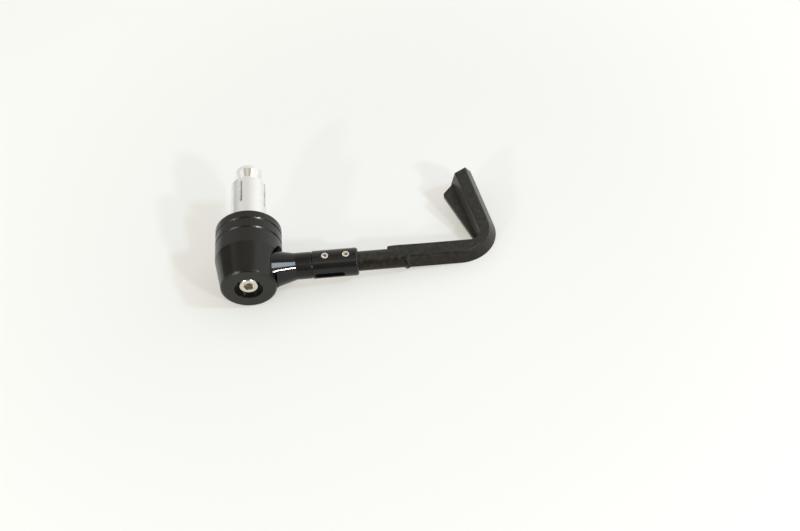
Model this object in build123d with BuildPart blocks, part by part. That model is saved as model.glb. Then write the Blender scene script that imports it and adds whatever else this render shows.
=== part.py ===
"""Motorcycle brake lever guard: a bar-end weight on an expander, a turned arm and a moulded blade.

The origin is on the handlebar's axis, at the face that meets the end of the handlebar.
+Y runs along the handlebar towards its middle, +X points forward along the arm, +Z is up.
All sizes are millimetres and degrees.
"""
import os
from math import asin, atan2, cos, hypot, radians, sin, tan

from build123d import *

# Bar-end weight
body_radius = 17.0
nose_radius = 13.95
body_straight = 9.3
body_taper = 17.7
nose_chamfer = 0.8
edge_chamfer = 0.65
nose_recess_radius = 7.25
nose_recess_depth = 2.7

# Spacer rings
inner_spacer_width = 5.1
outer_spacer_width = 6.0

# Clamp bolt, M6 socket head
bolt_radius = 3.0
bolt_clearance = 0.3
thread_clearance = 0.05
head_radius = 5.0
head_height = 6.0
head_clearance = 0.55
head_below_nose = 1.6
head_edge_chamfer = 0.5
head_seat_web = 2.8
bolt_hex_across = 5.0
bolt_hex_depth = 3.0
bolt_end_inset = 1.2

# Expander sleeve and cone nut
sleeve_radius = 9.15
sleeve_length = 30.9
sleeve_bore_radius = 4.4
sleeve_edge_chamfer = 0.3
sleeve_slot_length = 17.2
sleeve_slot_width = 1.5
sleeve_slot_count = 4
sleeve_turn = 32.0
sleeve_first_slot = 45.0
cone_radius = 7.0
cone_rim_width = 2.5
cone_rim_chamfer = 0.5
cone_half_angle = 17.0
cone_seat_depth = 0.9
cone_seat_clearance = 0.03

# Guard arm
arm_from_nose = 12.2
eye_radius = 11.1
eye_clearance = 0.4
root_radius = 9.75
root_offset = 0.75
root_base = 9.3
root_base_clearance = 0.3
root_relief_depth = 2.6
root_relief_end = 14.7
window_gap_side = 1.25
window_gap_top = 0.25
window_offset = 0.3
flare_start = 12.2
flare_end = 24.5
flare_sink = 0.15
neck_radius = 6.8
neck_length = 7.8
neck_overlap = 1.0
groove_width = 0.5
groove_depth = 0.3
socket_radius = 7.1
socket_length = 23.2
socket_depth = 22.2
socket_start_chamfer = 0.3
socket_end_chamfer = 0.8
sight_slot_start = 1.0
sight_slot_length = 15.2
sight_slot_height = 3.4
sight_slot_angle = 96.0

# Set screws, M4
screw_radius = 2.0
screw_clearance = 0.05
screw_length = 3.0
screw_sink = 0.4
screw_first = 6.7
screw_pitch = 10.55
screw_count = 2
screw_hex_across = 2.0
screw_hex_depth = 1.5
screw_edge_chamfer = 0.25

# Lever blade
shank_radius = 5.0
shank_clearance = 0.05
shank_end_gap = 0.4
blade_height = 9.0
blade_width = 7.95
blade_edge_chamfer = 0.45
shoulder_reach = 69.3
shoulder_plan_slant = 41.3
shoulder_side_slant = 17.3
shoulder_foot_setback = 0.8
shoulder_corner_round = 1.0
shank_overlap = 0.3
pad_proud = 0.8
pad_foot_length = 0.5
pad_ramp_angle = 27.0
inner_corner_reach = 119.65
inner_corner_round = 5.5
outer_corner_reach = 127.0
outer_corner_round = 16.5
outer_foot_round = 19.4
leg_inner_lean = 12.8
leg_outer_lean = 12.1
inner_wall_spread = 2.2
outer_wall_spread = 4.4
tip_inner_rise = 51.3
tip_outer_rise = 54.6
tip_outer_foot_rise = 59.5
fin_thickness = 2.25
fin_width = 6.9
fin_tip_rise = 42.65
fin_tip_round = 1.8
fin_root_depth = 2.0
fin_tip_setback = 0.1

# Places along the handlebar's axis
body_seat = -(inner_spacer_width + outer_spacer_width)
taper_start = body_seat - body_straight
nose_face = taper_start - body_taper
arm_station = nose_face + arm_from_nose
head_top = nose_face + head_below_nose
head_seat = head_top + head_height
pocket_floor = head_seat + head_seat_web
cone_slope = tan(radians(cone_half_angle))
cone_small_radius = sleeve_bore_radius - cone_seat_clearance
cone_start = sleeve_length - cone_seat_depth
cone_rim = cone_start + (cone_radius - cone_small_radius) / cone_slope
cone_end = cone_rim + cone_rim_width

# Places along the arm's axis
flare_run = flare_end - flare_start
flare_length = hypot(flare_run, root_offset)
root_length = flare_length * (flare_end - root_base) / flare_run
window_floor = root_base - root_radius * root_offset / flare_run - root_base_clearance
neck_start = flare_end - neck_radius * root_offset / flare_run - neck_overlap
socket_start = flare_end + neck_length
socket_end = socket_start + socket_length
shank_start = socket_end - socket_depth + shank_end_gap
screw_top = socket_radius - screw_sink
screw_point = screw_top - screw_length
screw_places = [(socket_start + screw_first + i * screw_pitch, 0) for i in range(screw_count)]

# Places across the blade
half_height = blade_height / 2
inner_side = shank_radius
outer_side = inner_side - blade_width
pad_side = outer_side - pad_proud
shoulder_foot_reach = shoulder_reach - shoulder_foot_setback
pad_crown_reach = shoulder_reach + (inner_side - pad_side) * tan(radians(shoulder_plan_slant))
pad_foot_reach = pad_crown_reach + blade_height * tan(radians(shoulder_side_slant))
pad_end = pad_foot_reach + pad_foot_length
pad_ramp_end = pad_end + pad_proud / tan(radians(pad_ramp_angle))
inner_foot_reach = inner_corner_reach - inner_wall_spread
outer_foot_reach = outer_corner_reach + outer_wall_spread

# The arm leans down until the foot of the bend meets the surface that the body lies on
bend_run = outer_foot_round * tan(radians(45 + leg_outer_lean / 2))
bend_reach = outer_foot_reach - bend_run + outer_foot_round
arm_lean = asin(body_radius / hypot(bend_reach, half_height)) - atan2(half_height, bend_reach)
bar_axis = Vector(0, 1, 0)
along_arm = Vector(cos(arm_lean), 0, -sin(arm_lean))
across_arm = Vector(sin(arm_lean), 0, cos(arm_lean))
arm_origin = Vector(0, arm_station, 0)
arm_plan = Plane(origin=arm_origin, x_dir=along_arm, z_dir=across_arm)
arm_cross = Plane(origin=arm_origin, x_dir=bar_axis, z_dir=along_arm)
flare_axis = along_arm * -flare_run - bar_axis * root_offset
flare_plan = Plane(origin=arm_origin + along_arm * flare_end, x_dir=flare_axis, z_dir=across_arm)


def along_bar(station):
    """Return the plane across the handlebar at a station, facing out of the handlebar's end."""
    return Plane.XZ.offset(-station)


# Bar-end weight: turned taper, pocket for the arm's eye, bolt hole and side window
with BuildPart() as bar_end_weight:
    with BuildSketch(Plane.XY):
        with BuildLine():
            Polyline(
                (0, body_seat),
                (body_radius, body_seat),
                (body_radius, taper_start),
                (nose_radius, nose_face),
                (0, nose_face),
                close=True,
            )
        make_face()
    revolve(axis=Axis.Y)
    chamfer(bar_end_weight.edges().filter_by(GeomType.CIRCLE).sort_by(Axis.Y)[0], nose_chamfer)
    chamfer(bar_end_weight.edges().filter_by(GeomType.CIRCLE).sort_by(Axis.Y)[-1], edge_chamfer)
    with BuildSketch(along_bar(nose_face)):
        Circle(nose_recess_radius)
    extrude(amount=-nose_recess_depth, mode=Mode.SUBTRACT)
    with BuildSketch(along_bar(nose_face)):
        Circle(head_radius + head_clearance)
    extrude(amount=nose_face - head_seat, mode=Mode.SUBTRACT)
    with BuildSketch(along_bar(body_seat)):
        Circle(eye_radius + eye_clearance)
    extrude(amount=body_seat - pocket_floor, mode=Mode.SUBTRACT)
    with BuildSketch(along_bar(body_seat)):
        Circle(bolt_radius + bolt_clearance)
    extrude(amount=body_seat - nose_face, mode=Mode.SUBTRACT)
    with BuildSketch(arm_cross.offset(window_floor)):
        with Locations((window_offset, 0)):
            SlotOverall(2 * (root_radius + window_gap_side), 2 * (root_radius + window_gap_top))
    extrude(amount=body_radius, mode=Mode.SUBTRACT)


def spacer_ring(outer_face, width):
    """Return a plain ring that reaches from its outer face towards the handlebar."""
    with BuildPart() as ring:
        with BuildSketch(along_bar(outer_face)):
            Circle(body_radius)
            Circle(bolt_radius + bolt_clearance, mode=Mode.SUBTRACT)
        extrude(amount=-width)
        rims = ring.edges().filter_by(GeomType.CIRCLE).group_by(SortBy.RADIUS)[-1]
        chamfer(rims, edge_chamfer)
    return ring


spacer_ring_outer = spacer_ring(body_seat, outer_spacer_width)
spacer_ring_inner = spacer_ring(-inner_spacer_width, inner_spacer_width)

# Clamp bolt: socket head in the nose, plain shank through to the cone nut
with BuildPart() as clamp_bolt:
    with BuildSketch(along_bar(head_top)):
        Circle(head_radius)
    extrude(amount=head_top - head_seat)
    chamfer(clamp_bolt.edges().filter_by(GeomType.CIRCLE).sort_by(Axis.Y)[0], head_edge_chamfer)
    with BuildSketch(along_bar(head_seat)):
        Circle(bolt_radius)
    extrude(amount=head_seat - cone_end + bolt_end_inset)
    with BuildSketch(along_bar(head_top)):
        RegularPolygon(bolt_hex_across / 2, 6, major_radius=False)
    extrude(amount=-bolt_hex_depth, mode=Mode.SUBTRACT)

# Expander sleeve: slotted from its far end, with a conical seat for the nut
with BuildPart() as expander_sleeve:
    with BuildSketch(Plane.XY.rotated((0, sleeve_turn, 0))):
        with BuildLine():
            Polyline(
                (sleeve_bore_radius, 0),
                (sleeve_radius, 0),
                (sleeve_radius, sleeve_length - sleeve_edge_chamfer),
                (sleeve_radius - sleeve_edge_chamfer, sleeve_length),
                (sleeve_bore_radius + cone_seat_depth * cone_slope, sleeve_length),
                (sleeve_bore_radius, cone_start),
                close=True,
            )
        make_face()
    revolve(axis=Axis.Y)
    with BuildSketch(along_bar(sleeve_length)):
        with PolarLocations(sleeve_radius, sleeve_slot_count, start_angle=sleeve_first_slot - sleeve_turn):
            Rectangle(2 * sleeve_radius, sleeve_slot_width)
    extrude(amount=sleeve_slot_length, mode=Mode.SUBTRACT)

# Cone nut: rim at its far end, cone down to the sleeve's seat and bore for the bolt
with BuildPart() as expander_cone:
    with BuildSketch(Plane.XY):
        with BuildLine():
            Polyline(
                (bolt_radius + thread_clearance, cone_start),
                (cone_small_radius, cone_start),
                (cone_radius, cone_rim),
                (cone_radius, cone_end),
                (bolt_radius + thread_clearance, cone_end),
                close=True,
            )
        make_face()
    revolve(axis=Axis.Y)
    rim_edges = expander_cone.edges().filter_by(GeomType.CIRCLE).group_by(SortBy.RADIUS)[-1]
    chamfer(rim_edges.sort_by(Axis.Y)[-1], cone_rim_chamfer)

# Guard arm: eye round the bolt, relieved root, leaning flare, neck and tube socket
with BuildPart() as guard_arm:
    with BuildSketch(arm_plan):
        with BuildLine():
            Polyline(
                (neck_start, 0),
                (neck_start, neck_radius),
                (socket_start - groove_width, neck_radius),
                (socket_start - groove_width, neck_radius - groove_depth),
                (socket_start, neck_radius - groove_depth),
                (socket_start, socket_radius - socket_start_chamfer),
                (socket_start + socket_start_chamfer, socket_radius),
                (socket_end - socket_end_chamfer, socket_radius),
                (socket_end, socket_radius - socket_end_chamfer),
                (socket_end, shank_radius + shank_clearance),
                (socket_end - socket_depth, shank_radius + shank_clearance),
                (socket_end - socket_depth, 0),
                close=True,
            )
        make_face()
    revolve(axis=Axis(arm_origin, along_arm))
    with BuildSketch(flare_plan):
        with BuildLine():
            Polyline(
                (0, 0),
                (root_length, 0),
                (root_length, root_radius),
                (flare_length, root_radius),
                (0, neck_radius - flare_sink),
                close=True,
            )
        make_face()
    revolve(axis=Axis(flare_plan.origin, flare_axis))
    with BuildSketch(arm_plan):
        with Locations((root_relief_end, root_relief_depth - root_offset - root_radius)):
            Rectangle(root_relief_end, root_radius, align=(Align.MAX, Align.MAX))
    extrude(amount=2 * root_radius, both=True, mode=Mode.SUBTRACT)
    with BuildSketch(along_bar(body_seat)):
        Circle(eye_radius)
    extrude(amount=body_seat - pocket_floor)
    with BuildSketch(along_bar(body_seat)):
        Circle(bolt_radius + bolt_clearance)
    extrude(amount=body_seat - pocket_floor, mode=Mode.SUBTRACT)
    slot_middle = socket_start + sight_slot_start + sight_slot_length / 2
    slot_facing = across_arm * cos(radians(sight_slot_angle)) - bar_axis * sin(radians(sight_slot_angle))
    slot_plane = Plane(origin=arm_origin + along_arm * slot_middle, x_dir=along_arm, z_dir=slot_facing)
    with BuildSketch(slot_plane):
        SlotOverall(sight_slot_length, sight_slot_height)
    extrude(amount=2 * socket_radius, mode=Mode.SUBTRACT)
    with BuildSketch(arm_plan.offset(screw_point)):
        with Locations(*screw_places):
            Circle(screw_radius + screw_clearance)
    extrude(amount=socket_radius, mode=Mode.SUBTRACT)

# Set screws: one over each screw hole, points down on the shank
with BuildPart() as set_screws:
    with BuildSketch(arm_plan.offset(screw_point)):
        with Locations(*screw_places):
            Circle(screw_radius)
    extrude(amount=screw_length)
    rims = set_screws.edges().filter_by(GeomType.CIRCLE)
    chamfer(rims.group_by(Axis(arm_origin, across_arm))[-1], screw_edge_chamfer)
    with BuildSketch(arm_plan.offset(screw_top)):
        with Locations(*screw_places):
            RegularPolygon(screw_hex_across / 2, 6, major_radius=False)
    extrude(amount=-screw_hex_depth, mode=Mode.SUBTRACT)


def leg_point(corner_reach, corner_side, lean, rise):
    """Return the plan point at a rise on a wall of the finger leg, which leans from its corner."""
    return (corner_reach - (rise - corner_side) * tan(radians(lean)), rise)


def blade_outline(height, shoulder, pad_reach, inner_reach, outer_reach, outer_round, outer_rise):
    """Return the blade's plan outline at a height, with its shoulder corner and two bends rounded."""
    with BuildSketch(arm_plan.offset(height)) as outline:
        with BuildLine():
            Polyline(
                (shoulder, inner_side),
                (inner_reach, inner_side),
                leg_point(inner_reach, inner_side, leg_inner_lean, tip_inner_rise),
                leg_point(outer_reach, outer_side, leg_outer_lean, outer_rise),
                (outer_reach, outer_side),
                (pad_ramp_end, outer_side),
                (pad_end, pad_side),
                (pad_reach, pad_side),
                close=True,
            )
        make_face()
        fillet(outline.vertices().sort_by_distance((shoulder, inner_side))[0], shoulder_corner_round)
        fillet(outline.vertices().sort_by_distance((inner_reach, inner_side))[0], inner_corner_round)
        fillet(outline.vertices().sort_by_distance((outer_reach, outer_side))[0], outer_round)
    return outline


blade_foot = blade_outline(
    height=-half_height,
    shoulder=shoulder_foot_reach,
    pad_reach=pad_foot_reach,
    inner_reach=inner_foot_reach,
    outer_reach=outer_foot_reach,
    outer_round=outer_foot_round,
    outer_rise=tip_outer_foot_rise,
)
blade_crown = blade_outline(
    height=half_height,
    shoulder=shoulder_reach,
    pad_reach=pad_crown_reach,
    inner_reach=inner_corner_reach,
    outer_reach=outer_corner_reach,
    outer_round=outer_corner_round,
    outer_rise=tip_outer_rise,
)

# Shank: round rod from the socket to just inside the oblique shoulder
shoulder_plane = Plane(
    origin=arm_plan.from_local_coords(Vector(shoulder_reach + shank_overlap, inner_side, half_height)),
    z_dir=(
        along_arm
        + bar_axis * tan(radians(shoulder_plan_slant))
        + across_arm * tan(radians(shoulder_side_slant))
    ),
)
with BuildPart() as shank:
    with BuildSketch(arm_cross.offset(shank_start)):
        Circle(shank_radius)
    extrude(amount=inner_corner_reach - shank_start)
    split(bisect_by=shoulder_plane, keep=Keep.BOTTOM)

# Lever blade: bar and finger leg between the two outlines, then the fin, the shank and the screw seats
fin_wall_reach, fin_rise = leg_point(inner_foot_reach, inner_side, leg_inner_lean, fin_tip_rise)
fin_tip = (fin_wall_reach - fin_width, fin_rise)
with BuildPart() as lever_blade:
    loft(sections=[blade_foot.sketch, blade_crown.sketch], ruled=True)
    crown = lever_blade.faces().sort_by(Axis(arm_origin, across_arm))[-1]
    chamfer(crown.edges(), blade_edge_chamfer)
    with BuildSketch(arm_plan.offset(-half_height)) as fin:
        with BuildLine():
            Polyline(
                (inner_foot_reach, inner_side),
                leg_point(inner_foot_reach + fin_root_depth, inner_side, leg_inner_lean, inner_side),
                leg_point(
                    inner_foot_reach + fin_root_depth, inner_side, leg_inner_lean, tip_inner_rise - fin_tip_setback
                ),
                fin_tip,
                close=True,
            )
        make_face()
        fillet(fin.vertices().sort_by_distance(fin_tip)[0], fin_tip_round)
    extrude(amount=fin_thickness)
    add(shank.part)
    with BuildSketch(arm_plan.offset(screw_point)):
        with Locations(*screw_places):
            Circle(screw_radius + screw_clearance)
    extrude(amount=screw_length, mode=Mode.SUBTRACT)

# Export
pieces = {
    "bar_end_weight": bar_end_weight,
    "spacer_ring_outer": spacer_ring_outer,
    "spacer_ring_inner": spacer_ring_inner,
    "clamp_bolt": clamp_bolt,
    "expander_sleeve": expander_sleeve,
    "expander_cone": expander_cone,
    "guard_arm": guard_arm,
    "set_screws": set_screws,
    "lever_blade": lever_blade,
}
os.makedirs("parts", exist_ok=True)
for name, piece in pieces.items():
    piece.part.label = name
    export_step(piece.part, f"parts/{name}.step")
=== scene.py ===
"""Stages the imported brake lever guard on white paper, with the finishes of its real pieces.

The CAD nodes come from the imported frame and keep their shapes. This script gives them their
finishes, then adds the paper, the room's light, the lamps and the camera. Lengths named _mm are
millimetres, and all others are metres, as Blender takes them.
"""

import logging
import math
from dataclasses import dataclass
from enum import Enum
from typing import Any, Optional

import bpy
from mathutils import Matrix, Quaternion, Vector


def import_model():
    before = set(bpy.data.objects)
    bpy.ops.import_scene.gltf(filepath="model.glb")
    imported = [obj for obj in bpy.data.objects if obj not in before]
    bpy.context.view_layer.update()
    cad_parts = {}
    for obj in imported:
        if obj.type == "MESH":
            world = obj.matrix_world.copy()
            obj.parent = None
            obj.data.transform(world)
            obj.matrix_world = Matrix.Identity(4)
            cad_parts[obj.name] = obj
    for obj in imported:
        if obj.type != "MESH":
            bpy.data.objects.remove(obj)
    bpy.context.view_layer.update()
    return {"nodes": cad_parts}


Triple = tuple[float, float, float]
Tree = bpy.types.NodeTree
Node = bpy.types.Node
Socket = bpy.types.NodeSocket

LOG = logging.getLogger("lever_guard")
MM = 0.001
ARM_LEAN = math.radians(5.67)
ALONG_ARM = (math.cos(ARM_LEAN), 0.0, -math.sin(ARM_LEAN))
ABOVE_ARM = (math.sin(ARM_LEAN), 0.0, math.cos(ARM_LEAN))
OUT_OF_NOSE = (0.0, -1.0, 0.0)
# Keeps what lies square to the turned pieces' axis
ACROSS_AXIS = (1.0, 0.0, 1.0)
# Most values of a noise texture lie between these two
NOISE_LOW = 0.3
NOISE_HIGH = 0.7
# How many finer layers a noise texture adds to itself
GRAIN_LAYERS = 2.0
PATCH_LAYERS = 3.0
CLOUD_LAYERS = 4.0
BEVEL_SAMPLES = 6
# Outputs of a Mix node. Its share is input 0, its values are 2 and 3, and its colours 6 and 7
MIXED_VALUE = 0
MIXED_COLOUR = 2


class NodeName(str, Enum):
    """Names of the CAD nodes."""

    BODY = "bar_end_weight"
    RING_OUTER = "spacer_ring_outer"
    RING_INNER = "spacer_ring_inner"
    BOLT = "clamp_bolt"
    SLEEVE = "expander_sleeve"
    CONE = "expander_cone"
    ARM = "guard_arm"
    SCREWS = "set_screws"
    BLADE = "lever_blade"


def linear(hex_colour: str) -> tuple[float, float, float, float]:
    """Convert an sRGB colour to the linear values that shaders take.

    Args:
        hex_colour: Colour as "#rrggbb".

    Returns:
        Linear red, green, blue and an alpha of 1.
    """
    channels = (int(hex_colour[i : i + 2], 16) / 255 for i in (1, 3, 5))
    red, green, blue = (
        c / 12.92 if c <= 0.04045 else ((c + 0.055) / 1.055) ** 2.4 for c in channels
    )
    return (red, green, blue, 1.0)


def towards(azimuth: float, elevation: float) -> Vector:
    """Find the direction in which something in the room lies.

    Args:
        azimuth: Degrees to the right of the guard's front, seen from above.
        elevation: Degrees above the horizon.

    Returns:
        Direction of length 1.
    """
    turn, rise = math.radians(azimuth), math.radians(elevation)
    level = math.cos(rise)
    return Vector((math.sin(turn) * level, -math.cos(turn) * level, math.sin(rise)))


def add_node(
    tree: Tree, kind: str, settings: Optional[dict[str, Any]] = None, **inputs: Any
) -> Any:
    """Add a node to a tree, with its settings, input values and links.

    Args:
        tree: Node tree that takes the node.
        kind: Blender's type name of the node.
        settings: Properties of the node itself, by name.
        **inputs: Values or output sockets for the inputs. An underscore stands for a space, and
            "in0" is input 0.

    Returns:
        The new node.
    """
    node = tree.nodes.new(kind)
    for name, value in (settings or {}).items():
        setattr(node, name, value)
    for name, value in inputs.items():
        key = int(name[2:]) if name[2:].isdigit() else name.replace("_", " ")
        if isinstance(value, Socket):
            tree.links.new(value, node.inputs[key])
        else:
            node.inputs[key].default_value = value
    return node


@dataclass(frozen=True)
class Finish:
    """A surface finish, with the values that are the same all over it.

    Attributes:
        name: Material name, which says what the real surface is.
        colour: Base colour as sRGB hex.
        metallic: 1 for bare metal, 0 for coatings and plastics.
        roughness: Principled roughness.
        specular: Specular level, where 0.5 is a plain dielectric.
        edge_round_mm: Radius that the broken edges seem to have.
    """

    name: str
    colour: str
    metallic: float = 0.0
    roughness: float = 0.3
    specular: float = 0.5
    edge_round_mm: float = 0.3

    def build(self) -> bpy.types.Material:
        """Make the material.

        Returns:
            The finished material.
        """
        material = bpy.data.materials.new(self.name)
        material.use_nodes = True
        tree = material.node_tree
        shader = tree.nodes["Principled BSDF"]
        shader.inputs["Base Color"].default_value = linear(self.colour)
        shader.inputs["Metallic"].default_value = self.metallic
        shader.inputs["Roughness"].default_value = self.roughness
        shader.inputs["Specular IOR Level"].default_value = self.specular
        place = add_node(tree, "ShaderNodeTexCoord")
        edges = add_node(
            tree, "ShaderNodeBevel", {"samples": BEVEL_SAMPLES}, Radius=self.edge_round_mm * MM
        )
        self.detail(tree, shader, place.outputs["Object"], edges.outputs["Normal"])
        return material

    def detail(self, tree: Tree, shader: Node, place: Socket, edges: Socket) -> None:
        """Add the finish's own marks and grain.

        Args:
            tree: The material's node tree.
            shader: Its Principled shader.
            place: Socket with the place on the piece.
            edges: Socket with the normal that has the edges rounded.
        """
        raise NotImplementedError


@dataclass(frozen=True)
class SatinAnodised(Finish):
    """Aluminium turned on a lathe, blasted and anodised black.

    It gives soft reflections and a fine grain, and it is smoother and paler at rubbed edges.

    Attributes:
        rub_start: Cosine of the turn in the rounded edge at which rubbing starts.
        rub_full: The same, where the edge is rubbed smooth.
        patch_mm: Size of the patches with more or less sheen.
        patch_roughness: How far the roughness of a patch differs.
    """

    name: str = "satin black anodised aluminium"
    colour: str = "#13120e"
    rubbed_colour: str = "#181714"
    roughness: float = 0.26
    specular: float = 0.38
    edge_round_mm: float = 0.35
    rubbed_roughness: float = 0.08
    rub_start: float = 0.99
    rub_full: float = 0.88
    # Tool marks 0.15 mm apart are too fine to show, and are drawn at twice that
    mark_pitch_mm: float = 0.3
    mark_depth_mm: float = 0.0012
    # The blasting grit is 0.1 mm, and is drawn coarser to show
    grain_mm: float = 0.28
    grain_depth_mm: float = 0.002
    patch_mm: float = 9.0
    patch_roughness: float = 0.04

    def detail(self, tree: Tree, shader: Node, place: Socket, edges: Socket) -> None:
        """Add tool marks, blasted grain, uneven sheen and rubbed edges.

        Args:
            tree: The material's node tree.
            shader: Its Principled shader.
            place: Socket with the place on the piece.
            edges: Socket with the normal that has the edges rounded.
        """
        surface = add_node(tree, "ShaderNodeNewGeometry")
        turn = add_node(
            tree,
            "ShaderNodeVectorMath",
            {"operation": "DOT_PRODUCT"},
            in0=edges,
            in1=surface.outputs["Normal"],
        )
        rubbed = add_node(
            tree,
            "ShaderNodeMapRange",
            Value=turn.outputs["Value"],
            From_Min=self.rub_start,
            From_Max=self.rub_full,
        )
        unrubbed = add_node(
            tree,
            "ShaderNodeMath",
            {"operation": "SUBTRACT"},
            in0=1.0,
            in1=rubbed.outputs["Result"],
        )
        axes = add_node(tree, "ShaderNodeSeparateXYZ", Vector=place)
        marks = add_node(
            tree,
            "ShaderNodeTexNoise",
            {"noise_dimensions": "1D"},
            W=axes.outputs["Y"],
            Scale=1 / (self.mark_pitch_mm * MM),
        )
        turned = add_node(
            tree,
            "ShaderNodeBump",
            Strength=unrubbed.outputs["Value"],
            Height=marks.outputs["Fac"],
            Distance=self.mark_depth_mm * MM,
            Normal=edges,
        )
        grain = add_node(
            tree,
            "ShaderNodeTexNoise",
            Vector=place,
            Scale=1 / (self.grain_mm * MM),
            Detail=GRAIN_LAYERS,
        )
        blasted = add_node(
            tree,
            "ShaderNodeBump",
            Strength=unrubbed.outputs["Value"],
            Height=grain.outputs["Fac"],
            Distance=self.grain_depth_mm * MM,
            Normal=turned.outputs["Normal"],
        )
        tree.links.new(blasted.outputs["Normal"], shader.inputs["Normal"])
        patches = add_node(
            tree,
            "ShaderNodeTexNoise",
            Vector=place,
            Scale=1 / (self.patch_mm * MM),
            Detail=PATCH_LAYERS,
        )
        sheen = add_node(
            tree,
            "ShaderNodeMapRange",
            Value=patches.outputs["Fac"],
            From_Min=NOISE_LOW,
            From_Max=NOISE_HIGH,
            To_Min=self.roughness - self.patch_roughness,
            To_Max=self.roughness + self.patch_roughness,
        )
        polish = add_node(
            tree,
            "ShaderNodeMix",
            in0=rubbed.outputs["Result"],
            in2=sheen.outputs["Result"],
            in3=self.rubbed_roughness,
        )
        tree.links.new(polish.outputs[MIXED_VALUE], shader.inputs["Roughness"])
        colour = add_node(
            tree,
            "ShaderNodeMix",
            {"data_type": "RGBA"},
            in0=rubbed.outputs["Result"],
            in6=linear(self.colour),
            in7=linear(self.rubbed_colour),
        )
        tree.links.new(colour.outputs[MIXED_COLOUR], shader.inputs["Base Color"])


@dataclass(frozen=True)
class GlossAnodised(Finish):
    """Aluminium turned, polished and anodised black.

    It gives sharp reflections on the flare, softer ones on the socket, and a ribbed neck whose
    base colour is darkened as painted shade for the ribs' self-shadowing.

    Attributes:
        neck_start_mm: Where the ribbed neck starts, along the arm.
        neck_end_mm: Where the neck ends.
        neck_fade_mm: Length over which the flare's polish turns into the socket's.
        smudge_low: Factor on the roughness where the surface is cleanest.
        smudge_high: Factor on the roughness where it is most smudged.
    """

    name: str = "gloss black anodised aluminium"
    colour: str = "#101010"
    # Painted shade: the neck is darker to stand in for its ribs' self-shadowing
    neck_shade_colour: str = "#030303"
    roughness: float = 0.05
    specular: float = 0.36
    edge_round_mm: float = 0.4
    neck_roughness: float = 0.24
    socket_roughness: float = 0.2
    neck_start_mm: float = 0.0
    neck_end_mm: float = 0.0
    neck_fade_mm: float = 1.0
    # The neck's ribs follow a tool feed of about 0.5 mm, and are drawn coarser to show
    rib_pitch_mm: float = 1.4
    rib_depth_mm: float = 0.03
    # Turning marks of 0.1 mm, also drawn coarser
    mark_pitch_mm: float = 0.35
    mark_depth_mm: float = 0.0003
    smudge_mm: float = 5.0
    smudge_low: float = 0.8
    smudge_high: float = 1.3

    def detail(self, tree: Tree, shader: Node, place: Socket, edges: Socket) -> None:
        """Add turning marks, the neck's ribs and their painted shade, and the sheen of each
        stretch.

        Args:
            tree: The material's node tree.
            shader: Its Principled shader.
            place: Socket with the place on the piece.
            edges: Socket with the normal that has the edges rounded.
        """
        along = add_node(
            tree, "ShaderNodeVectorMath", {"operation": "DOT_PRODUCT"}, in0=place, in1=ALONG_ARM
        )
        reach = along.outputs["Value"]
        marks = add_node(
            tree,
            "ShaderNodeTexNoise",
            {"noise_dimensions": "1D"},
            W=reach,
            Scale=1 / (self.mark_pitch_mm * MM),
        )
        turned = add_node(
            tree,
            "ShaderNodeBump",
            Height=marks.outputs["Fac"],
            Distance=self.mark_depth_mm * MM,
            Normal=edges,
        )
        turns = add_node(
            tree,
            "ShaderNodeMath",
            {"operation": "MULTIPLY"},
            in0=reach,
            in1=math.tau / (self.rib_pitch_mm * MM),
        )
        wave = add_node(
            tree, "ShaderNodeMath", {"operation": "SINE"}, in0=turns.outputs["Value"]
        )
        past_start = add_node(
            tree,
            "ShaderNodeMath",
            {"operation": "GREATER_THAN"},
            in0=reach,
            in1=self.neck_start_mm * MM,
        )
        before_end = add_node(
            tree,
            "ShaderNodeMath",
            {"operation": "LESS_THAN"},
            in0=reach,
            in1=self.neck_end_mm * MM,
        )
        on_neck = add_node(
            tree,
            "ShaderNodeMath",
            {"operation": "MULTIPLY"},
            in0=past_start.outputs["Value"],
            in1=before_end.outputs["Value"],
        )
        ribs = add_node(
            tree,
            "ShaderNodeMath",
            {"operation": "MULTIPLY"},
            in0=wave.outputs["Value"],
            in1=on_neck.outputs["Value"],
        )
        ribbed = add_node(
            tree,
            "ShaderNodeBump",
            Height=ribs.outputs["Value"],
            Distance=self.rib_depth_mm * MM,
            Normal=turned.outputs["Normal"],
        )
        tree.links.new(ribbed.outputs["Normal"], shader.inputs["Normal"])
        softer = add_node(
            tree,
            "ShaderNodeMapRange",
            {"interpolation_type": "SMOOTHSTEP"},
            Value=reach,
            From_Min=self.neck_start_mm * MM,
            From_Max=(self.neck_start_mm + self.neck_fade_mm) * MM,
            To_Min=self.roughness,
            To_Max=self.socket_roughness,
        )
        base = add_node(
            tree,
            "ShaderNodeMix",
            in0=on_neck.outputs["Value"],
            in2=softer.outputs["Result"],
            in3=self.neck_roughness,
        )
        smudges = add_node(
            tree,
            "ShaderNodeTexNoise",
            Vector=place,
            Scale=1 / (self.smudge_mm * MM),
            Detail=CLOUD_LAYERS,
        )
        uneven = add_node(
            tree,
            "ShaderNodeMapRange",
            Value=smudges.outputs["Fac"],
            From_Min=NOISE_LOW,
            From_Max=NOISE_HIGH,
            To_Min=self.smudge_low,
            To_Max=self.smudge_high,
        )
        sheen = add_node(
            tree,
            "ShaderNodeMath",
            {"operation": "MULTIPLY"},
            in0=base.outputs[MIXED_VALUE],
            in1=uneven.outputs["Result"],
        )
        tree.links.new(sheen.outputs["Value"], shader.inputs["Roughness"])
        # Painted shade on the neck, in place of the ribs' self-shadowing
        colour = add_node(
            tree,
            "ShaderNodeMix",
            {"data_type": "RGBA"},
            in0=on_neck.outputs["Value"],
            in6=linear(self.colour),
            in7=linear(self.neck_shade_colour),
        )
        tree.links.new(colour.outputs[MIXED_COLOUR], shader.inputs["Base Color"])


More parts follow.
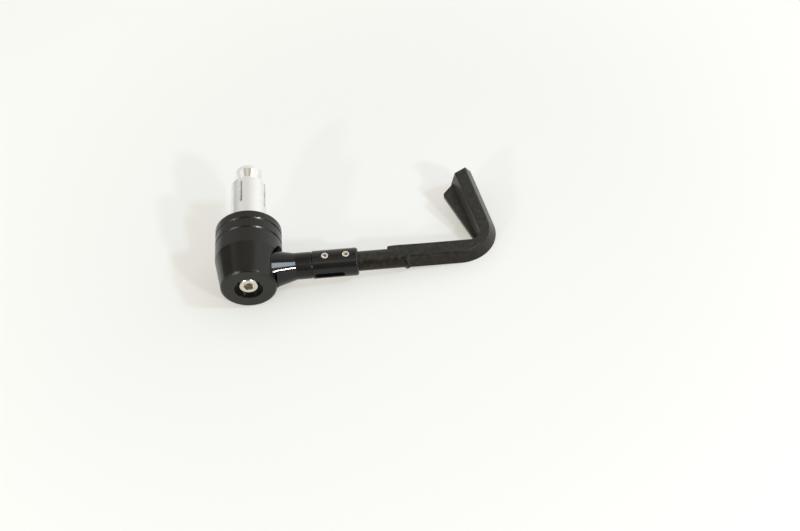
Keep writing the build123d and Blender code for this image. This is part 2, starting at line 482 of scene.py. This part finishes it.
@dataclass(frozen=True)
class MouldedNylon(Finish):
    """Glass-filled nylon as moulded.

    It gives a soft sheen, a pebbled grain and brownish clouds of glass. Its outer walls are darker
    with painted shade, and the leg's inner wall is paler with a painted reflection.

    Attributes:
        outward: Direction out of the bend, away from the lever.
        inward: Direction out of the leg's inner wall.
        wall_start: Share of the outward direction at which the painted shade starts.
        wall_full: The same, where a face takes all of the painted shade.
        inner_start: Share of the inward direction at which the painted reflection starts.
        inner_full: The same, where a face takes all of the painted reflection.
        cloud_start: Noise value at which a cloud starts.
        cloud_full: Noise value in the middle of a cloud.
        cloud_swirl: How far the flow in the mould has drawn the clouds out of shape.
        sheen_spread: How far the roughness of the clouds differs.
    """

    name: str = "black glass-filled nylon"
    colour: str = "#232321"
    cloud_colour: str = "#322f29"
    # Painted shade: the outer walls' colours are darker because less light falls on them
    outer_wall_shade_colour: str = "#0f0e0c"
    outer_wall_shade_cloud_colour: str = "#261f18"
    # Painted reflection: the leg's inner wall is paler where it mirrors the bright room
    inner_reflection_colour: str = "#42403b"
    roughness: float = 0.34
    specular: float = 0.19
    edge_round_mm: float = 0.6
    outward: Triple = (0.0, 0.0, 0.0)
    inward: Triple = (0.0, 0.0, 0.0)
    wall_start: float = 0.25
    wall_full: float = 0.65
    inner_start: float = 0.6
    inner_full: float = 0.9
    cloud_mm: float = 2.2
    cloud_start: float = 0.38
    cloud_full: float = 0.66
    cloud_swirl: float = 0.6
    # The mould's pebbles are about 0.2 mm across, and are drawn coarser to show
    grain_mm: float = 0.45
    grain_depth_mm: float = 0.008
    sheen_spread: float = 0.07

    def detail(self, tree: Tree, shader: Node, place: Socket, edges: Socket) -> None:
        """Add clouds, the walls' painted shade and painted reflection, uneven sheen and moulded
        grain.

        Args:
            tree: The material's node tree.
            shader: Its Principled shader.
            place: Socket with the place on the piece.
            edges: Socket with the normal that has the edges rounded.
        """
        clouds = add_node(
            tree,
            "ShaderNodeTexNoise",
            Vector=place,
            Scale=1 / (self.cloud_mm * MM),
            Detail=CLOUD_LAYERS,
            Distortion=self.cloud_swirl,
        )
        amount = add_node(
            tree,
            "ShaderNodeMapRange",
            Value=clouds.outputs["Fac"],
            From_Min=self.cloud_start,
            From_Max=self.cloud_full,
        )
        shades = []
        for plain, cloud in (
            (self.colour, self.cloud_colour),
            (self.outer_wall_shade_colour, self.outer_wall_shade_cloud_colour),
        ):
            clouded = add_node(
                tree,
                "ShaderNodeMix",
                {"data_type": "RGBA"},
                in0=amount.outputs["Result"],
                in6=linear(plain),
                in7=linear(cloud),
            )
            shades.append(clouded.outputs[MIXED_COLOUR])
        plain_shade, wall_shade = shades
        facing = add_node(tree, "ShaderNodeTexCoord")
        colour = plain_shade
        # Lays painted shade on the outer walls, then a painted reflection on the leg's inner wall
        for direction, start, full, shade in (
            (self.outward, self.wall_start, self.wall_full, wall_shade),
            (self.inward, self.inner_start, self.inner_full, linear(self.inner_reflection_colour)),
        ):
            share = add_node(
                tree,
                "ShaderNodeVectorMath",
                {"operation": "DOT_PRODUCT"},
                in0=facing.outputs["Normal"],
                in1=direction,
            )
            on_wall = add_node(
                tree,
                "ShaderNodeMapRange",
                Value=share.outputs["Value"],
                From_Min=start,
                From_Max=full,
            )
            mixed = add_node(
                tree,
                "ShaderNodeMix",
                {"data_type": "RGBA"},
                in0=on_wall.outputs["Result"],
                in6=colour,
                in7=shade,
            )
            colour = mixed.outputs[MIXED_COLOUR]
        tree.links.new(colour, shader.inputs["Base Color"])
        sheen = add_node(
            tree,
            "ShaderNodeMapRange",
            Value=clouds.outputs["Fac"],
            From_Min=NOISE_LOW,
            From_Max=NOISE_HIGH,
            To_Min=self.roughness - self.sheen_spread,
            To_Max=self.roughness + self.sheen_spread,
        )
        tree.links.new(sheen.outputs["Result"], shader.inputs["Roughness"])
        grain = add_node(
            tree,
            "ShaderNodeTexNoise",
            Vector=place,
            Scale=1 / (self.grain_mm * MM),
            Detail=GRAIN_LAYERS,
        )
        pebbled = add_node(
            tree,
            "ShaderNodeBump",
            Height=grain.outputs["Fac"],
            Distance=self.grain_depth_mm * MM,
            Normal=edges,
        )
        tree.links.new(pebbled.outputs["Normal"], shader.inputs["Normal"])


@dataclass(frozen=True)
class SocketSteel(Finish):
    """Stainless steel fastener: a bright face, and a hexagon socket darkened with painted shade.

    Attributes:
        axis: Direction out of the face.
        face_mm: How far the face lies from the origin along that direction.
        socket_start_mm: Depth below the face at which the socket starts to darken.
        socket_fade_mm: Depth over which it darkens.
    """

    name: str = "bright stainless steel"
    colour: str = "#dfdacd"
    # Painted shade deep in the hexagon socket
    socket_shade_colour: str = "#bdb5aa"
    metallic: float = 1.0
    roughness: float = 0.2
    edge_round_mm: float = 0.15
    axis: Triple = OUT_OF_NOSE
    face_mm: float = 0.0
    socket_start_mm: float = 0.3
    socket_fade_mm: float = 0.9
    # Scratches of 0.1 mm or less, drawn coarser to show
    scratch_mm: float = 0.5
    scratch_depth_mm: float = 0.002

    def detail(self, tree: Tree, shader: Node, place: Socket, edges: Socket) -> None:
        """Paint shade into the socket, darker with its depth, and add fine scratches.

        Args:
            tree: The material's node tree.
            shader: Its Principled shader.
            place: Socket with the place on the piece.
            edges: Socket with the normal that has the edges rounded.
        """
        along = add_node(
            tree, "ShaderNodeVectorMath", {"operation": "DOT_PRODUCT"}, in0=place, in1=self.axis
        )
        depth = add_node(
            tree,
            "ShaderNodeMapRange",
            Value=along.outputs["Value"],
            From_Min=(self.face_mm - self.socket_start_mm) * MM,
            From_Max=(self.face_mm - self.socket_start_mm - self.socket_fade_mm) * MM,
        )
        # Painted shade: the socket's colour darkens with depth below the face
        colour = add_node(
            tree,
            "ShaderNodeMix",
            {"data_type": "RGBA"},
            in0=depth.outputs["Result"],
            in6=linear(self.colour),
            in7=linear(self.socket_shade_colour),
        )
        tree.links.new(colour.outputs[MIXED_COLOUR], shader.inputs["Base Color"])
        scratches = add_node(
            tree,
            "ShaderNodeTexNoise",
            Vector=place,
            Scale=1 / (self.scratch_mm * MM),
            Detail=PATCH_LAYERS,
        )
        scratched = add_node(
            tree,
            "ShaderNodeBump",
            Height=scratches.outputs["Fac"],
            Distance=self.scratch_depth_mm * MM,
            Normal=edges,
        )
        tree.links.new(scratched.outputs["Normal"], shader.inputs["Normal"])


@dataclass(frozen=True)
class TurnedAluminium(Finish):
    """Bare aluminium as turned: pale, with soft bands round it, and rougher where it was milled.

    Attributes:
        skin_mm: Radius of the turned outside.
        milled_mm: Radius below which only milled walls lie.
        band_mm: Width of the bands with more or less sheen.
        band_roughness: How far the roughness of a band differs.
    """

    name: str = "turned bare aluminium"
    colour: str = "#f2f1ef"
    metallic: float = 1.0
    roughness: float = 0.34
    edge_round_mm: float = 0.2
    skin_mm: float = 0.0
    milled_mm: float = 0.0
    milled_roughness: float = 0.9
    # Turning marks 0.2 mm apart are too fine to show, and are drawn coarser
    mark_pitch_mm: float = 0.5
    mark_depth_mm: float = 0.003
    band_mm: float = 4.0
    band_roughness: float = 0.05

    def detail(self, tree: Tree, shader: Node, place: Socket, edges: Socket) -> None:
        """Add turning marks, bands of sheen, and the milled walls.

        Args:
            tree: The material's node tree.
            shader: Its Principled shader.
            place: Socket with the place on the piece.
            edges: Socket with the normal that has the edges rounded.
        """
        axes = add_node(tree, "ShaderNodeSeparateXYZ", Vector=place)
        marks = add_node(
            tree,
            "ShaderNodeTexNoise",
            {"noise_dimensions": "1D"},
            W=axes.outputs["Y"],
            Scale=1 / (self.mark_pitch_mm * MM),
        )
        turned = add_node(
            tree,
            "ShaderNodeBump",
            Height=marks.outputs["Fac"],
            Distance=self.mark_depth_mm * MM,
            Normal=edges,
        )
        tree.links.new(turned.outputs["Normal"], shader.inputs["Normal"])
        bands = add_node(
            tree,
            "ShaderNodeTexNoise",
            {"noise_dimensions": "1D"},
            W=axes.outputs["Y"],
            Scale=1 / (self.band_mm * MM),
        )
        skin = add_node(
            tree,
            "ShaderNodeMapRange",
            Value=bands.outputs["Fac"],
            From_Min=NOISE_LOW,
            From_Max=NOISE_HIGH,
            To_Min=self.roughness - self.band_roughness,
            To_Max=self.roughness + self.band_roughness,
        )
        across = add_node(
            tree, "ShaderNodeVectorMath", {"operation": "MULTIPLY"}, in0=place, in1=ACROSS_AXIS
        )
        radius = add_node(
            tree, "ShaderNodeVectorMath", {"operation": "LENGTH"}, in0=across.outputs["Vector"]
        )
        inside = add_node(
            tree,
            "ShaderNodeMapRange",
            Value=radius.outputs["Value"],
            From_Min=self.skin_mm * MM,
            From_Max=self.milled_mm * MM,
        )
        sheen = add_node(
            tree,
            "ShaderNodeMix",
            in0=inside.outputs["Result"],
            in2=skin.outputs["Result"],
            in3=self.milled_roughness,
        )
        tree.links.new(sheen.outputs[MIXED_VALUE], shader.inputs["Roughness"])


@dataclass(frozen=True)
class PolishedAluminium(Finish):
    """Bare aluminium turned fine and polished: mirror-like, with faint rings and dull smudges.

    Attributes:
        smudge_start: Noise value at which a smudge starts.
        smudge_full: Noise value in the middle of a smudge.
    """

    name: str = "polished aluminium"
    colour: str = "#f3f2f0"
    metallic: float = 1.0
    roughness: float = 0.06
    edge_round_mm: float = 0.25
    # Rings of 0.1 mm are too fine to show, and are drawn coarser
    mark_pitch_mm: float = 0.4
    mark_depth_mm: float = 0.0012
    smudge_mm: float = 3.0
    smudge_roughness: float = 0.12
    smudge_start: float = 0.45
    smudge_full: float = 0.75

    def detail(self, tree: Tree, shader: Node, place: Socket, edges: Socket) -> None:
        """Add faint rings and smudges.

        Args:
            tree: The material's node tree.
            shader: Its Principled shader.
            place: Socket with the place on the piece.
            edges: Socket with the normal that has the edges rounded.
        """
        axes = add_node(tree, "ShaderNodeSeparateXYZ", Vector=place)
        marks = add_node(
            tree,
            "ShaderNodeTexNoise",
            {"noise_dimensions": "1D"},
            W=axes.outputs["Y"],
            Scale=1 / (self.mark_pitch_mm * MM),
        )
        turned = add_node(
            tree,
            "ShaderNodeBump",
            Height=marks.outputs["Fac"],
            Distance=self.mark_depth_mm * MM,
            Normal=edges,
        )
        tree.links.new(turned.outputs["Normal"], shader.inputs["Normal"])
        smudges = add_node(
            tree,
            "ShaderNodeTexNoise",
            Vector=place,
            Scale=1 / (self.smudge_mm * MM),
            Detail=PATCH_LAYERS,
        )
        sheen = add_node(
            tree,
            "ShaderNodeMapRange",
            Value=smudges.outputs["Fac"],
            From_Min=self.smudge_start,
            From_Max=self.smudge_full,
            To_Min=self.roughness,
            To_Max=self.smudge_roughness,
        )
        tree.links.new(sheen.outputs["Result"], shader.inputs["Roughness"])


@dataclass(frozen=True)
class SoftBox:
    """A rectangular lamp or window that faces the guard.

    Attributes:
        name: What the lamp is.
        azimuth: Degrees to the right of the front of the guard, seen from above.
        elevation: Degrees above the horizon.
        distance: Metres from the guard.
        width: Metres across.
        height: Metres from lower to upper edge.
        radiance: Brightness of its face.
        colour: Colour as sRGB hex.
        tilt: Degrees that its right end is raised.
        lights: Whether it lights matt surfaces too.
    """

    name: str
    azimuth: float
    elevation: float
    distance: float
    width: float
    height: float
    radiance: float
    colour: str
    tilt: float = 0.0
    lights: bool = True

    def build(self, subject: Vector) -> None:
        """Make the lamp and aim it.

        Args:
            subject: Point that it faces, in the frame.
        """
        direction = towards(self.azimuth, self.elevation)
        light = bpy.data.lights.new(self.name, "AREA")
        light.shape = "RECTANGLE"
        light.size = self.width
        light.size_y = self.height
        light.energy = self.radiance * math.pi * self.width * self.height
        light.color = linear(self.colour)[:3]
        lamp = bpy.data.objects.new(self.name, light)
        tilted = Quaternion((0.0, 0.0, 1.0), math.radians(self.tilt))
        lamp.location = subject + direction * self.distance
        lamp.rotation_euler = (direction.to_track_quat("Z", "Y") @ tilted).to_euler()
        lamp.visible_camera = False
        lamp.visible_diffuse = self.lights
        bpy.context.scene.collection.objects.link(lamp)


@dataclass(frozen=True)
class RoomPatch:
    """A part of the room that is brighter or darker than the walls round it.

    Attributes:
        name: What it is.
        azimuth: Degrees to the right of the front of the guard.
        elevation: Degrees above the horizon.
        half_width: Degrees from its middle to a side.
        half_height: Degrees from its middle to the top or foot.
        colour: Its light, as red, green and blue.
        soft: Degrees over which its edge fades, to either side.
    """

    name: str
    azimuth: float
    elevation: float
    half_width: float
    half_height: float
    colour: Triple
    soft: float = 3.0

    def paint(self, tree: Tree, azimuth: Socket, elevation: Socket, light: Socket) -> Socket:
        """Lay the patch over the room's light.

        Args:
            tree: The world's node tree.
            azimuth: Socket with the azimuth of a direction, in radians.
            elevation: Socket with its elevation, in radians.
            light: Socket with the light so far.

        Returns:
            Socket with the light and the patch.
        """
        share = 1.0
        for angle, middle, half in (
            (azimuth, self.azimuth, self.half_width),
            (elevation, self.elevation, self.half_height),
        ):
            off = add_node(
                tree,
                "ShaderNodeMath",
                {"operation": "SUBTRACT"},
                in0=angle,
                in1=math.radians(middle),
            )
            away = add_node(
                tree, "ShaderNodeMath", {"operation": "ABSOLUTE"}, in0=off.outputs["Value"]
            )
            within = add_node(
                tree,
                "ShaderNodeMapRange",
                {"interpolation_type": "SMOOTHSTEP"},
                Value=away.outputs["Value"],
                From_Min=math.radians(half + self.soft),
                From_Max=math.radians(half - self.soft),
            )
            both = add_node(
                tree,
                "ShaderNodeMath",
                {"operation": "MULTIPLY"},
                in0=within.outputs["Result"],
                in1=share,
            )
            share = both.outputs["Value"]
        mixed = add_node(
            tree,
            "ShaderNodeMix",
            {"data_type": "RGBA"},
            in0=share,
            in6=light,
            in7=(*self.colour, 1.0),
        )
        return mixed.outputs[MIXED_COLOUR]


LAMPS = (
    SoftBox(
        "window, right, as it lights",
        azimuth=72.5, elevation=42.5, distance=2.4, width=0.34, height=0.14,
        radiance=136.0, colour="#dcf0ff",
    ),
    SoftBox(
        "upper pane, as polished pieces mirror it",
        azimuth=68.2, elevation=55.3, distance=2.4, width=1.25, height=0.09,
        radiance=12.0, colour="#e2f4ff", tilt=30.0, lights=False,
    ),
    SoftBox(
        "lower pane, as polished pieces mirror it",
        azimuth=69.9, elevation=53.6, distance=2.4, width=1.25, height=0.08,
        radiance=7.0, colour="#dcf0ff", tilt=30.0, lights=False,
    ),
    SoftBox(
        "lamp, front right",
        azimuth=39.3, elevation=30.5, distance=1.8, width=0.16, height=0.06,
        radiance=450.0, colour="#fffaf0",
    ),
    SoftBox(
        "lamp, front left",
        azimuth=-34.0, elevation=30.0, distance=1.8, width=0.12, height=0.12,
        radiance=180.0, colour="#fffaf0",
    ),
    SoftBox(
        "ceiling lamp, front",
        azimuth=8.0, elevation=65.0, distance=2.4, width=1.2, height=0.6,
        radiance=1.1, colour="#fff6e8",
    ),
)
ROOM_PATCHES = (
    RoomPatch(
        "bright wall, right",
        azimuth=117.0, elevation=14.0, half_width=17.0, half_height=26.0,
        colour=(1.12, 1.11, 1.08), soft=10.0,
    ),
    RoomPatch(
        "white curtain, right",
        azimuth=106.0, elevation=48.0, half_width=9.0, half_height=8.0,
        colour=(2.0, 2.0, 2.0),
    ),
    RoomPatch(
        "pale wall, left",
        azimuth=-108.0, elevation=44.0, half_width=6.5, half_height=20.0,
        colour=(0.93, 0.93, 0.9),
    ),
    RoomPatch(
        "dark doorway, left",
        azimuth=-122.0, elevation=16.0, half_width=8.5, half_height=23.0,
        colour=(0.12, 0.12, 0.11), soft=2.0,
    ),
    RoomPatch(
        "dark behind the camera",
        azimuth=0.0, elevation=14.0, half_width=22.0, half_height=37.0,
        colour=(0.17, 0.17, 0.15), soft=8.0,
    ),
)
# Light of the walls and ceiling from the horizon up, by the height of a direction of length 1
WALL_LIGHT = (
    (0.0, (0.92, 0.92, 0.90)),
    (0.74, (0.87, 0.855, 0.81)),
    (0.85, (0.46, 0.445, 0.40)),
    (0.94, (0.50, 0.475, 0.42)),
    (1.0, (0.82, 0.775, 0.67)),
)


@dataclass
class Stage:
    """White paper, room light and lamps.

    Attributes:
        centre_mm: Point near the middle of the picture, where the paper's glow is weakest.
        subject_mm: Point that the lamps face.
        lean: Angle of the paper, because the guard lies on the taper of its weight and on the bend
            of its blade.
        depth_mm: How far below the origin the paper lies, square to itself.
        half_width: Metres from the middle of the paper to its sides.
        paper_colour: Share of each colour that the paper scatters.
        glow_colour: Painted glow that the paper gives off, which keeps the shadows pale and warm.
        glow_start_mm: Distance from the centre at which the glow starts to grow.
        glow_end_mm: Distance at which it is strongest.
        edge_glow: How much stronger it is there than at the centre, as a share.
        glow_oval: Scale that draws the glow's rings out to ovals.
        left_light: Factor on the walls' light at the left.
        right_light: Factor on the walls' light at the right.
    """

    centre_mm: Triple
    subject_mm: Triple = (20.0, -25.0, 0.0)
    lean: float = math.radians(9.777)
    depth_mm: float = 20.27
    half_width: float = 3.0
    paper_colour: Triple = (0.43, 0.455, 0.48)
    glow_colour: Triple = (0.425, 0.40, 0.35)
    glow_start_mm: float = 100.0
    glow_end_mm: float = 300.0
    edge_glow: float = 0.18
    glow_oval: Triple = (1.0, 0.77, 1.0)
    left_light: float = 0.86
    right_light: float = 1.1

    def build(self) -> None:
        """Make the paper, the room's light and the lamps."""
        self.build_paper()
        self.build_room()
        for lamp in LAMPS:
            lamp.build(Vector(self.subject_mm) * MM)
            LOG.info("lamp: %s", lamp.name)

    def build_paper(self) -> None:
        """Make the paper, with a painted glow that brightens a little towards the edges of the
        picture.
        """
        half = self.half_width
        mesh = bpy.data.meshes.new("white paper")
        corners = [(-half, -half, 0), (half, -half, 0), (half, half, 0), (-half, half, 0)]
        mesh.from_pydata(corners, [], [(0, 1, 2, 3)])
        floor = bpy.data.objects.new("white paper", mesh)
        centre = Vector(self.centre_mm) * MM
        upward = Vector((0.0, math.sin(self.lean), math.cos(self.lean)))
        floor.location = centre - upward * (upward.dot(centre) + self.depth_mm * MM)
        floor.rotation_euler = (-self.lean, 0.0, 0.0)
        bpy.context.scene.collection.objects.link(floor)
        material = bpy.data.materials.new("white paper")
        material.use_nodes = True
        tree = material.node_tree
        tree.nodes.clear()
        place = add_node(tree, "ShaderNodeTexCoord")
        oval = add_node(
            tree, "ShaderNodeMapping", Vector=place.outputs["Object"], Scale=self.glow_oval
        )
        reach = add_node(
            tree, "ShaderNodeVectorMath", {"operation": "LENGTH"}, in0=oval.outputs["Vector"]
        )
        glow = add_node(
            tree,
            "ShaderNodeMapRange",
            {"interpolation_type": "SMOOTHSTEP"},
            Value=reach.outputs["Value"],
            From_Min=self.glow_start_mm * MM,
            From_Max=self.glow_end_mm * MM,
            To_Min=1.0,
            To_Max=1.0 + self.edge_glow,
        )
        diffuse = add_node(tree, "ShaderNodeBsdfDiffuse", Color=(*self.paper_colour, 1.0))
        # Painted light: the paper glows though it is no lamp, paling its shadows and brightening
        # its edges
        emission = add_node(
            tree,
            "ShaderNodeEmission",
            Color=(*self.glow_colour, 1.0),
            Strength=glow.outputs["Result"],
        )
        both = add_node(
            tree,
            "ShaderNodeAddShader",
            in0=diffuse.outputs["BSDF"],
            in1=emission.outputs["Emission"],
        )
        add_node(tree, "ShaderNodeOutputMaterial", Surface=both.outputs["Shader"])
        mesh.materials.append(material)

    def build_room(self) -> None:
        """Light the room: pale walls, brighter at the right, under a dimmer warm ceiling."""
        world = bpy.data.worlds.new("room")
        bpy.context.scene.world = world
        world.use_nodes = True
        tree = world.node_tree
        tree.nodes.clear()
        place = add_node(tree, "ShaderNodeTexCoord")
        axes = add_node(tree, "ShaderNodeSeparateXYZ", Vector=place.outputs["Generated"])
        walls = add_node(tree, "ShaderNodeValToRGB", Fac=axes.outputs["Z"])
        stops = walls.color_ramp.elements
        for height, _ in WALL_LIGHT[1:-1]:
            stops.new(height)
        for stop, (height, colour) in zip(stops, WALL_LIGHT):
            stop.position = height
            stop.color = (*colour, 1.0)
        side = add_node(
            tree,
            "ShaderNodeMapRange",
            Value=axes.outputs["X"],
            From_Min=-1.0,
            From_Max=1.0,
            To_Min=self.left_light,
            To_Max=self.right_light,
        )
        lit = add_node(
            tree,
            "ShaderNodeVectorMath",
            {"operation": "SCALE"},
            in0=walls.outputs["Color"],
            Scale=side.outputs["Result"],
        )
        forward = add_node(
            tree, "ShaderNodeMath", {"operation": "MULTIPLY"}, in0=axes.outputs["Y"], in1=-1.0
        )
        azimuth = add_node(
            tree,
            "ShaderNodeMath",
            {"operation": "ARCTAN2"},
            in0=axes.outputs["X"],
            in1=forward.outputs["Value"],
        )
        elevation = add_node(
            tree, "ShaderNodeMath", {"operation": "ARCSINE"}, in0=axes.outputs["Z"]
        )
        light = lit.outputs["Vector"]
        for patch in ROOM_PATCHES:
            light = patch.paint(tree, azimuth.outputs["Value"], elevation.outputs["Value"], light)
        room = add_node(tree, "ShaderNodeBackground", Color=light)
        add_node(tree, "ShaderNodeOutputWorld", Surface=room.outputs["Background"])


@dataclass(frozen=True)
class CameraSetup:
    """Where the photograph was taken from.

    Attributes:
        aim_mm: Point at the middle of the picture.
        azimuth: Degrees that the camera stands to the right of the guard's front.
        elevation: Degrees above the horizon.
        roll: Degrees that the camera is turned about its own axis.
        distance_mm: From the camera to the aim point.
        lens_mm: Focal length.
        sensor_mm: Width of the sensor.
        near_mm: Distance from the camera at which the picture starts.
    """

    aim_mm: Triple = (75.0, -23.1, -17.0)
    azimuth: float = 6.42
    elevation: float = 50.15
    roll: float = -13.28
    distance_mm: float = 741.2
    lens_mm: float = 65.29
    sensor_mm: float = 36.0
    near_mm: float = 10.0

    def build(self) -> None:
        """Make the camera, and give it to the scene."""
        turn, roll = math.radians(self.azimuth), math.radians(self.roll)
        back = towards(self.azimuth, self.elevation)
        right = Vector((math.cos(turn), math.sin(turn), 0.0))
        up = back.cross(right)
        rolled_right = right * math.cos(roll) + up * math.sin(roll)
        rolled_up = up * math.cos(roll) - right * math.sin(roll)
        data = bpy.data.cameras.new("camera")
        data.lens = self.lens_mm
        data.sensor_width = self.sensor_mm
        data.clip_start = self.near_mm * MM
        camera = bpy.data.objects.new("camera", data)
        place = Matrix((rolled_right, rolled_up, back)).transposed().to_4x4()
        place.translation = (Vector(self.aim_mm) + back * self.distance_mm) * MM
        camera.matrix_world = place
        bpy.context.scene.collection.objects.link(camera)
        bpy.context.scene.camera = camera


@dataclass
class SubAssembly:
    """Nodes of the guard that are dressed together.

    Attributes:
        nodes: All CAD objects by node name.
    """

    nodes: dict[str, bpy.types.Object]

    def paint(self, finish: Finish, *names: NodeName) -> None:
        """Give nodes one finish.

        Args:
            finish: The finish.
            *names: Nodes that take it.
        """
        material = finish.build()
        for name in names:
            mesh = self.nodes[name.value].data
            mesh.materials.clear()
            mesh.materials.append(material)
            LOG.info("%s: %s", name.value, finish.name)


@dataclass
class BarEnd(SubAssembly):
    """Weight, spacer rings and clamp bolt.

    Attributes:
        bolt_face_mm: How far the bolt's face lies from the origin, towards the nose.
    """

    bolt_face_mm: float = 36.5

    def dress(self) -> None:
        """Dress the turned black pieces and the bolt."""
        self.paint(SatinAnodised(), NodeName.BODY, NodeName.RING_OUTER, NodeName.RING_INNER)
        self.paint(SocketSteel(face_mm=self.bolt_face_mm), NodeName.BOLT)


@dataclass
class Expander(SubAssembly):
    """Slotted sleeve and cone nut.

    Attributes:
        skin_mm: Radius of the sleeve's turned outside.
        milled_mm: Radius below which only the walls of its slots lie.
    """

    skin_mm: float = 9.0
    milled_mm: float = 8.6

    def dress(self) -> None:
        """Dress the two bare aluminium pieces."""
        sleeve = TurnedAluminium(skin_mm=self.skin_mm, milled_mm=self.milled_mm)
        self.paint(sleeve, NodeName.SLEEVE)
        self.paint(PolishedAluminium(), NodeName.CONE)


@dataclass
class GuardArm(SubAssembly):
    """Arm with its tube socket and set screws.

    Attributes:
        neck_start_mm: Where the flare meets the neck, along the arm from the origin.
        neck_end_mm: Where the neck meets the tube socket.
        screw_face_mm: How far the screws' faces lie above the origin, square to the arm.
        screw_colour: The screws' steel, which is paler than the bolt's.
    """

    neck_start_mm: float = 24.3
    neck_end_mm: float = 31.6
    screw_face_mm: float = 6.7
    screw_colour: str = "#f4f0e6"

    def dress(self) -> None:
        """Dress the arm and its screws."""
        arm = GlossAnodised(neck_start_mm=self.neck_start_mm, neck_end_mm=self.neck_end_mm)
        self.paint(arm, NodeName.ARM)
        screws = SocketSteel(
            name="bright stainless steel, set screws",
            colour=self.screw_colour,
            axis=ABOVE_ARM,
            face_mm=self.screw_face_mm,
        )
        self.paint(screws, NodeName.SCREWS)


@dataclass
class LeverBlade(SubAssembly):
    """Moulded blade with its shank and fin.

    Attributes:
        outward: Direction out of the bend, away from the lever.
        inward: Direction out of the leg's inner wall, which takes a painted reflection.
    """

    outward: Triple = (0.5, -0.866, 0.0)
    inward: Triple = (-1.0, 0.0, 0.0)

    def dress(self) -> None:
        """Dress the blade."""
        self.paint(MouldedNylon(outward=self.outward, inward=self.inward), NodeName.BLADE)


def main() -> None:
    """Dress the guard, and set the stage and camera."""
    logging.basicConfig(level=logging.INFO)
    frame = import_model()
    for sub_assembly in (BarEnd, Expander, GuardArm, LeverBlade):
        sub_assembly(frame["nodes"]).dress()
    setup = CameraSetup()
    Stage(setup.aim_mm).build()
    setup.build()
    bpy.context.scene.view_settings.view_transform = "Standard"


if __name__ == "__main__":
    main()
